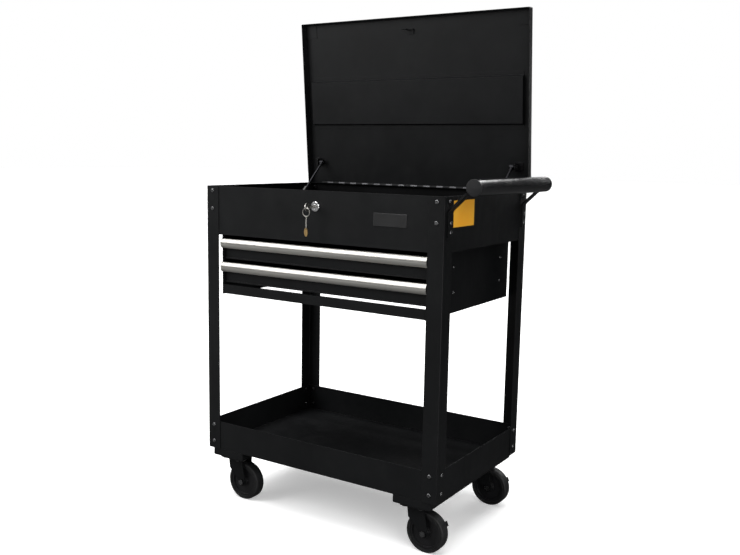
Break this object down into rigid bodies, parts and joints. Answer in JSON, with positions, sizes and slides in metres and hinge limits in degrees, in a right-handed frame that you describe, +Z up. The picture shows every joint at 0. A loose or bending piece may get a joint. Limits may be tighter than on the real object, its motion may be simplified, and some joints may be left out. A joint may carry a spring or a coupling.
{
  "type": "rolling tool chest",
  "caption": "Rolling tool chest: lidded top box over drawers with full-width pulls, on angle legs above an open tray, with swivel casters and a side push handle.",
  "frame": {"origin": "middle of the outline on the floor, lid open as in the rest pose", "axes": "+X towards the push handle, -Y towards the drawer fronts and the user, +Z up"},
  "size_m": [0.781, 0.5061, 1.303],
  "materials": {
    "black_powder_coat": "satin powder coat",
    "brushed_aluminium": "brushed along its length",
    "black_oxide": "satin black",
    "handle_coat": "smooth satin black",
    "badge": "satin, blank",
    "label": "orange film, blank",
    "zinc": "bright zinc plate",
    "chrome": "polished",
    "strut_black": "gloss black",
    "strut_rod": "dark nitrided",
    "key_steel": "nickel plated",
    "hub_plastic": "moulded",
    "tyre": "grey-black rubber"
  },
  "bodies": {
    "chest": {"legs_front": "black_powder_coat", "legs_rear": "black_powder_coat", "top_box_front": "black_powder_coat", "top_box_rear": "black_powder_coat", "top_box_sides": "black_powder_coat", "top_box_floor": "black_powder_coat", "cabinet_sides": "black_powder_coat", "cabinet_rear": "black_powder_coat", "cabinet_rail": "black_powder_coat", "lower_tray": "black_powder_coat", "caster_channels": "black_powder_coat", "fasteners": "black_oxide", "handle_tube": "handle_coat", "handle_plugs": "hub_plastic", "handle_brackets": "black_powder_coat", "badge_plate": "badge", "side_label": "label", "hinge_leaf_box": "black_powder_coat", "strut_mounts": "strut_black", "slide_rails": "zinc", "lock_housing": "chrome", "caster_plates": "zinc"},
    "lid": {"lid_pan": "black_powder_coat", "lid_stiffener": "black_powder_coat", "lid_strike": "black_powder_coat", "hinge_leaf_lid": "black_powder_coat", "lid_strut_brackets": "strut_black"},
    "lock": {"lock_plug": "chrome", "key": "key_steel"},
    "key_ring": {"key_ring": "key_steel"},
    "strut_cylinder_left": {"strut_cylinder_left": "strut_black"},
    "strut_rod_left": {"strut_rod_left": "strut_rod"},
    "strut_cylinder_right": {"strut_cylinder_right": "strut_black"},
    "strut_rod_right": {"strut_rod_right": "strut_rod"},
    "drawer_lower": {"drawer_lower": "black_powder_coat", "pull_lower": "brushed_aluminium", "slide_inner_lower": "zinc"},
    "slide_middle_lower": {"slide_middle_lower": "zinc"},
    "drawer_upper": {"drawer_upper": "black_powder_coat", "pull_upper": "brushed_aluminium", "slide_inner_upper": "zinc"},
    "slide_middle_upper": {"slide_middle_upper": "zinc"},
    "caster_front_left": {"fork_front_left": "black_powder_coat", "axle_front_left": "black_oxide"},
    "wheel_front_left": {"wheel_front_left": "hub_plastic", "tyre_front_left": "tyre"},
    "caster_front_right": {"fork_front_right": "black_powder_coat", "axle_front_right": "black_oxide"},
    "wheel_front_right": {"wheel_front_right": "hub_plastic", "tyre_front_right": "tyre"},
    "brake_front_right": {"brake_front_right": "strut_black"},
    "caster_rear_left": {"fork_rear_left": "black_powder_coat", "axle_rear_left": "black_oxide"},
    "wheel_rear_left": {"wheel_rear_left": "hub_plastic", "tyre_rear_left": "tyre"},
    "caster_rear_right": {"fork_rear_right": "black_powder_coat", "axle_rear_right": "black_oxide"},
    "wheel_rear_right": {"wheel_rear_right": "hub_plastic", "tyre_rear_right": "tyre"},
    "brake_rear_right": {"brake_rear_right": "strut_black"}
  },
  "joints": [
    {"name": "lid_hinge", "type": "hinge", "parent": "chest", "child": "lid", "pos_m": [-0.0355, 0.23977, 0.8455], "axis": [1, 0, 0], "range_deg": [0, 85], "stiffness_Nm_per_rad": 1, "springref_deg": -57.3},
    {"name": "strut_pivot_left", "type": "hinge", "parent": "chest", "child": "strut_cylinder_left", "pos_m": [-0.3415, 0.07177, 0.7505], "axis": [1, 0, 0], "range_deg": [-2.23, 0]},
    {"name": "strut_stroke_left", "type": "slide", "parent": "strut_cylinder_left", "child": "strut_rod_left", "axis": [0, 0.7247, 0.6891], "range_m": [-0.08082, 0]},
    {"name": "strut_pivot_right", "type": "hinge", "parent": "chest", "child": "strut_cylinder_right", "pos_m": [0.2705, 0.07177, 0.7505], "axis": [1, 0, 0], "range_deg": [-2.23, 0]},
    {"name": "strut_stroke_right", "type": "slide", "parent": "strut_cylinder_right", "child": "strut_rod_right", "axis": [0, 0.7247, 0.6891], "range_m": [-0.08082, 0]},
    {"name": "drawer_slide_lower", "type": "slide", "parent": "chest", "child": "drawer_lower", "axis": [0, -1, 0], "range_m": [0, 0.35]},
    {"name": "slide_middle_travel_lower", "type": "slide", "parent": "chest", "child": "slide_middle_lower", "axis": [0, -1, 0], "range_m": [0, 0.175]},
    {"name": "drawer_slide_upper", "type": "slide", "parent": "chest", "child": "drawer_upper", "axis": [0, -1, 0], "range_m": [0, 0.35]},
    {"name": "slide_middle_travel_upper", "type": "slide", "parent": "chest", "child": "slide_middle_upper", "axis": [0, -1, 0], "range_m": [0, 0.175]},
    {"name": "lock_turn", "type": "hinge", "parent": "chest", "child": "lock", "pos_m": [-0.0355, -0.21213, 0.8065], "axis": [0, -1, 0], "range_deg": [0, 90]},
    {"name": "key_ring_swing", "type": "hinge", "parent": "lock", "child": "key_ring", "pos_m": [-0.0355, -0.24763, 0.8045], "axis": [0, 1, 0], "range_deg": [-35, 35]},
    {"name": "swivel_front_left", "type": "hinge", "parent": "chest", "child": "caster_front_left", "pos_m": [-0.3165, -0.16213, 0.1135], "axis": [0, 0, 1], "continuous": true},
    {"name": "roll_front_left", "type": "hinge", "parent": "caster_front_left", "child": "wheel_front_left", "pos_m": [-0.2955, -0.16213, 0.05], "axis": [0, 1, 0], "continuous": true},
    {"name": "swivel_front_right", "type": "hinge", "parent": "chest", "child": "caster_front_right", "pos_m": [0.2455, -0.16213, 0.1135], "axis": [0, 0, 1], "continuous": true},
    {"name": "roll_front_right", "type": "hinge", "parent": "caster_front_right", "child": "wheel_front_right", "pos_m": [0.2665, -0.16213, 0.05], "axis": [0, 1, 0], "continuous": true},
    {"name": "brake_lever_front_right", "type": "hinge", "parent": "caster_front_right", "child": "brake_front_right", "pos_m": [0.2665, -0.16213, 0.05], "axis": [0, 1, 0], "range_deg": [0, 35]},
    {"name": "swivel_rear_left", "type": "hinge", "parent": "chest", "child": "caster_rear_left", "pos_m": [-0.3165, 0.18787, 0.1135], "axis": [0, 0, 1], "continuous": true},
    {"name": "roll_rear_left", "type": "hinge", "parent": "caster_rear_left", "child": "wheel_rear_left", "pos_m": [-0.2955, 0.18787, 0.05], "axis": [0, 1, 0], "continuous": true},
    {"name": "swivel_rear_right", "type": "hinge", "parent": "chest", "child": "caster_rear_right", "pos_m": [0.2455, 0.18787, 0.1135], "axis": [0, 0, 1], "continuous": true},
    {"name": "roll_rear_right", "type": "hinge", "parent": "caster_rear_right", "child": "wheel_rear_right", "pos_m": [0.2665, 0.18787, 0.05], "axis": [0, 1, 0], "continuous": true},
    {"name": "brake_lever_rear_right", "type": "hinge", "parent": "caster_rear_right", "child": "brake_rear_right", "pos_m": [0.2665, 0.18787, 0.05], "axis": [0, 1, 0], "range_deg": [0, 35]}
  ],
  "couplings": [
    {"joint": "strut_pivot_left", "follows": "lid_hinge", "ratio": -0.026132},
    {"joint": "strut_stroke_left", "follows": "lid_hinge", "m_per_rad": -0.054445},
    {"joint": "strut_pivot_right", "follows": "lid_hinge", "ratio": -0.026132},
    {"joint": "strut_stroke_right", "follows": "lid_hinge", "m_per_rad": -0.054445},
    {"joint": "slide_middle_travel_lower", "follows": "drawer_slide_lower", "ratio": 0.5},
    {"joint": "slide_middle_travel_upper", "follows": "drawer_slide_upper", "ratio": 0.5}
  ]
}
